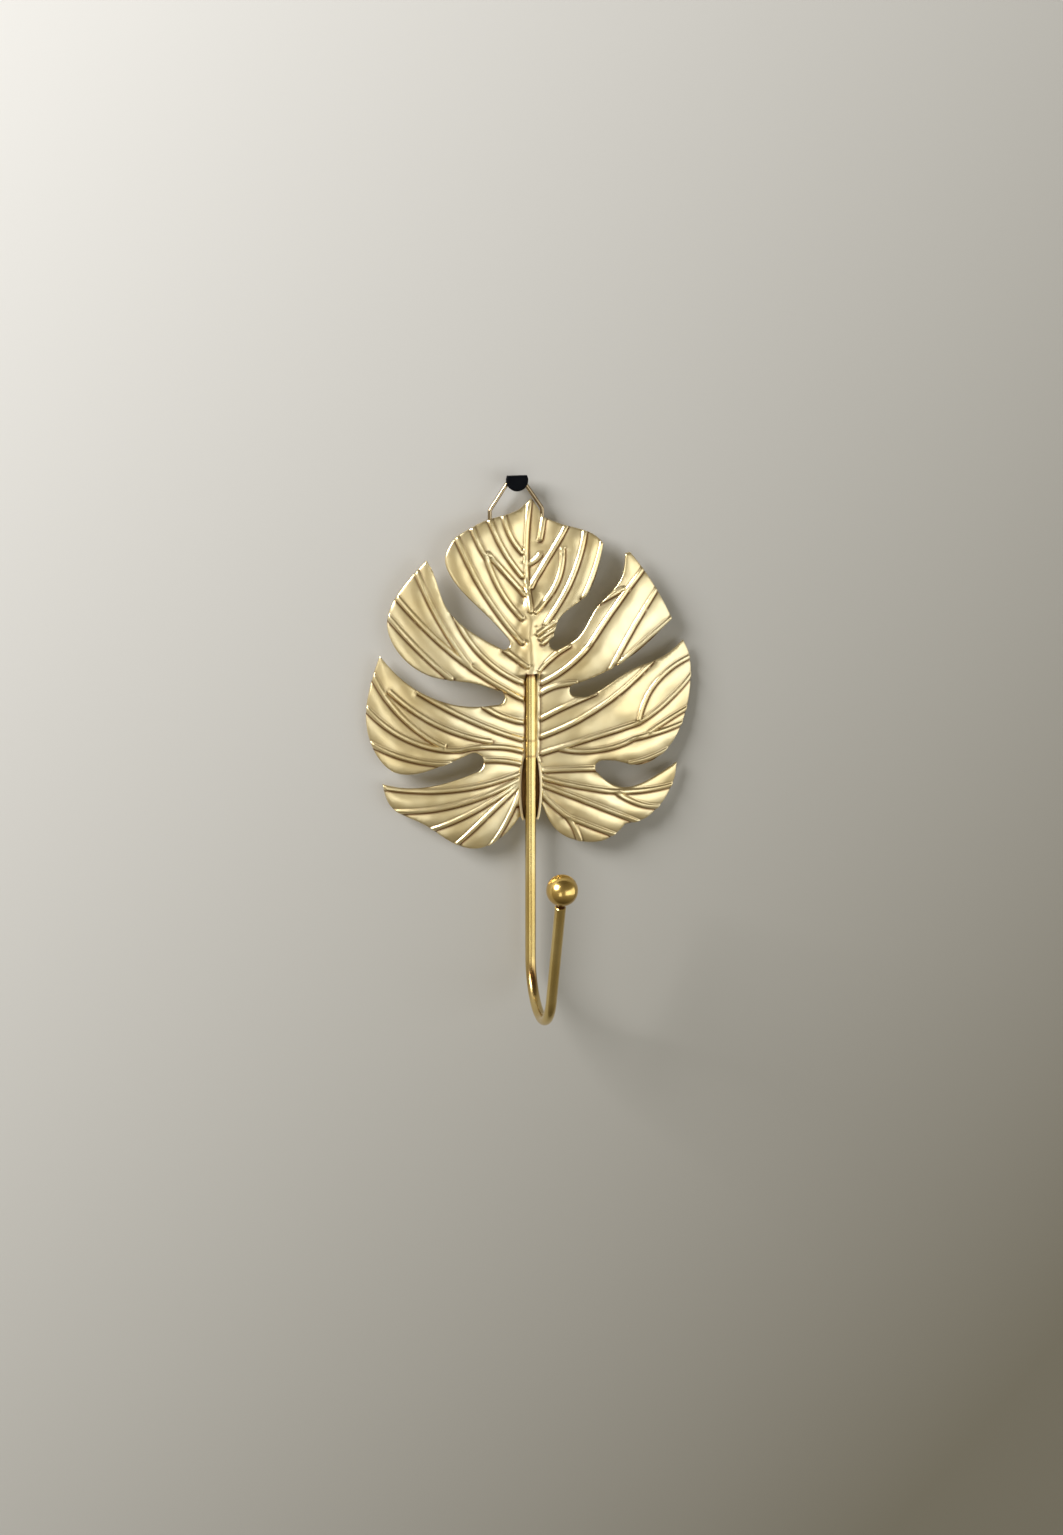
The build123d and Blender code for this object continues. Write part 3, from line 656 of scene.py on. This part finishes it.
bm = bmesh.new()
upright = Matrix.Rotation(math.pi / 2, 4, "X") @ Matrix.Diagonal((wallSet["wide"], wallSet["high"], 1, 1))
bmesh.ops.create_grid(bm, x_segments=1, y_segments=1, size=0.5, matrix=upright)
mesh = bpy.data.meshes.new("wall")
bm.to_mesh(mesh)
bm.free()
mesh.materials.append(wallPaint())
wall = bpy.data.objects.new("wall", mesh)
scene.collection.objects.link(wall)
print("wall up")

# room light: dim above and below, brighter at eye level
roomSet = {
    "below": (0.10, 0.085, 0.055), "above": (0.12, 0.10, 0.065), "warm": (1, 0.90, 0.68),
    "bands": ((0.22, 0.32), (0.48, 0.46), (0.62, 0.32)),    # height and level
}
world = bpy.data.worlds.new("room")
scene.world = world
world.use_nodes = True
join = world.node_tree.links.new
where = addNode(world.node_tree, "TexCoord", {})
parts = addNode(world.node_tree, "SeparateXYZ", {})
lift = addNode(world.node_tree, "MapRange", {"From Min": -1})
ramp = addNode(world.node_tree, "ValToRGB", {})
join(where.outputs["Generated"], parts.inputs["Vector"])
join(parts.outputs["Z"], lift.inputs["Value"])
join(lift.outputs["Result"], ramp.inputs["Fac"])
join(ramp.outputs["Color"], world.node_tree.nodes["Background"].inputs["Color"])
stops = ramp.color_ramp.elements
stops[0].color = (*roomSet["below"], 1)
stops[1].color = (*roomSet["above"], 1)
for height, level in roomSet["bands"]:
    stops.new(height).color = (*(level * c for c in roomSet["warm"]), 1)

# lamps aimed at the leaf, in metres and watts
aim = Vector((4.53, -6.5, -92.6)) * mm
lamps = [
    {"name": "right softbox", "way": (0.52, -0.85, -0.11), "far": 1.1, "wide": 0.78, "high": 0.54,
     "power": 2.7, "colour": (0.86, 0.93, 1.0)},
    {"name": "far right softbox", "way": (0.94, -0.34, -0.10), "far": 1.2, "wide": 0.8, "high": 0.7,
     "power": 2.6, "colour": (0.86, 0.93, 1.0)},
    {"name": "front fill", "way": (-0.40, -0.88, -0.25), "far": 1.15, "wide": 0.3, "high": 0.5,
     "power": 0.9, "colour": (0.90, 0.95, 1.0)},
    {"name": "upper left softbox", "way": (-0.74, -0.42, 0.52), "far": 1.8, "wide": 0.78, "high": 0.78,
     "power": 58.0, "colour": (0.97, 0.98, 1.0)},
    {"name": "back fill", "way": (0.3, 0.9, -0.2), "far": 1.0, "wide": 1.6, "high": 1.0,
     "power": 6.0, "colour": (1.0, 0.98, 0.94)},
]
for softbox in lamps:
    way = Vector(softbox["way"])
    light = bpy.data.lights.new(softbox["name"], "AREA")
    light.shape = "RECTANGLE"
    light.size, light.size_y = softbox["wide"], softbox["high"]
    light.energy = softbox["power"]
    light.color = softbox["colour"]
    lamp = bpy.data.objects.new(softbox["name"], light)
    lamp.location = aim + way.normalized() * softbox["far"]
    lamp.rotation_euler = (-way).to_track_quat("-Z", "Y").to_euler()
    scene.collection.objects.link(lamp)
print("lit")

# camera at the photograph's angle, with its focal length in the photograph's pixels
cameraSet = {
    "turn": -12.4, "rise": 15.0, "far": 0.950,    # degrees and metres
    "sensor": 36.0, "focalPixels": 2937, "tallPixels": 1535,
}
camera = bpy.data.objects.new("camera", bpy.data.cameras.new("camera"))
scene.collection.objects.link(camera)
turn, rise = math.radians(cameraSet["turn"]), math.radians(cameraSet["rise"])
back = Vector((math.sin(turn) * math.cos(rise), -math.cos(turn) * math.cos(rise), math.sin(rise)))
camera.location = aim + back * cameraSet["far"]
camera.rotation_euler = (-back).to_track_quat("-Z", "Y").to_euler()
camera.data.sensor_width = cameraSet["sensor"]
camera.data.lens = cameraSet["sensor"] * cameraSet["focalPixels"] / cameraSet["tallPixels"]
camera.data.clip_start, camera.data.clip_end = 0.01, 20.0
scene.camera = camera
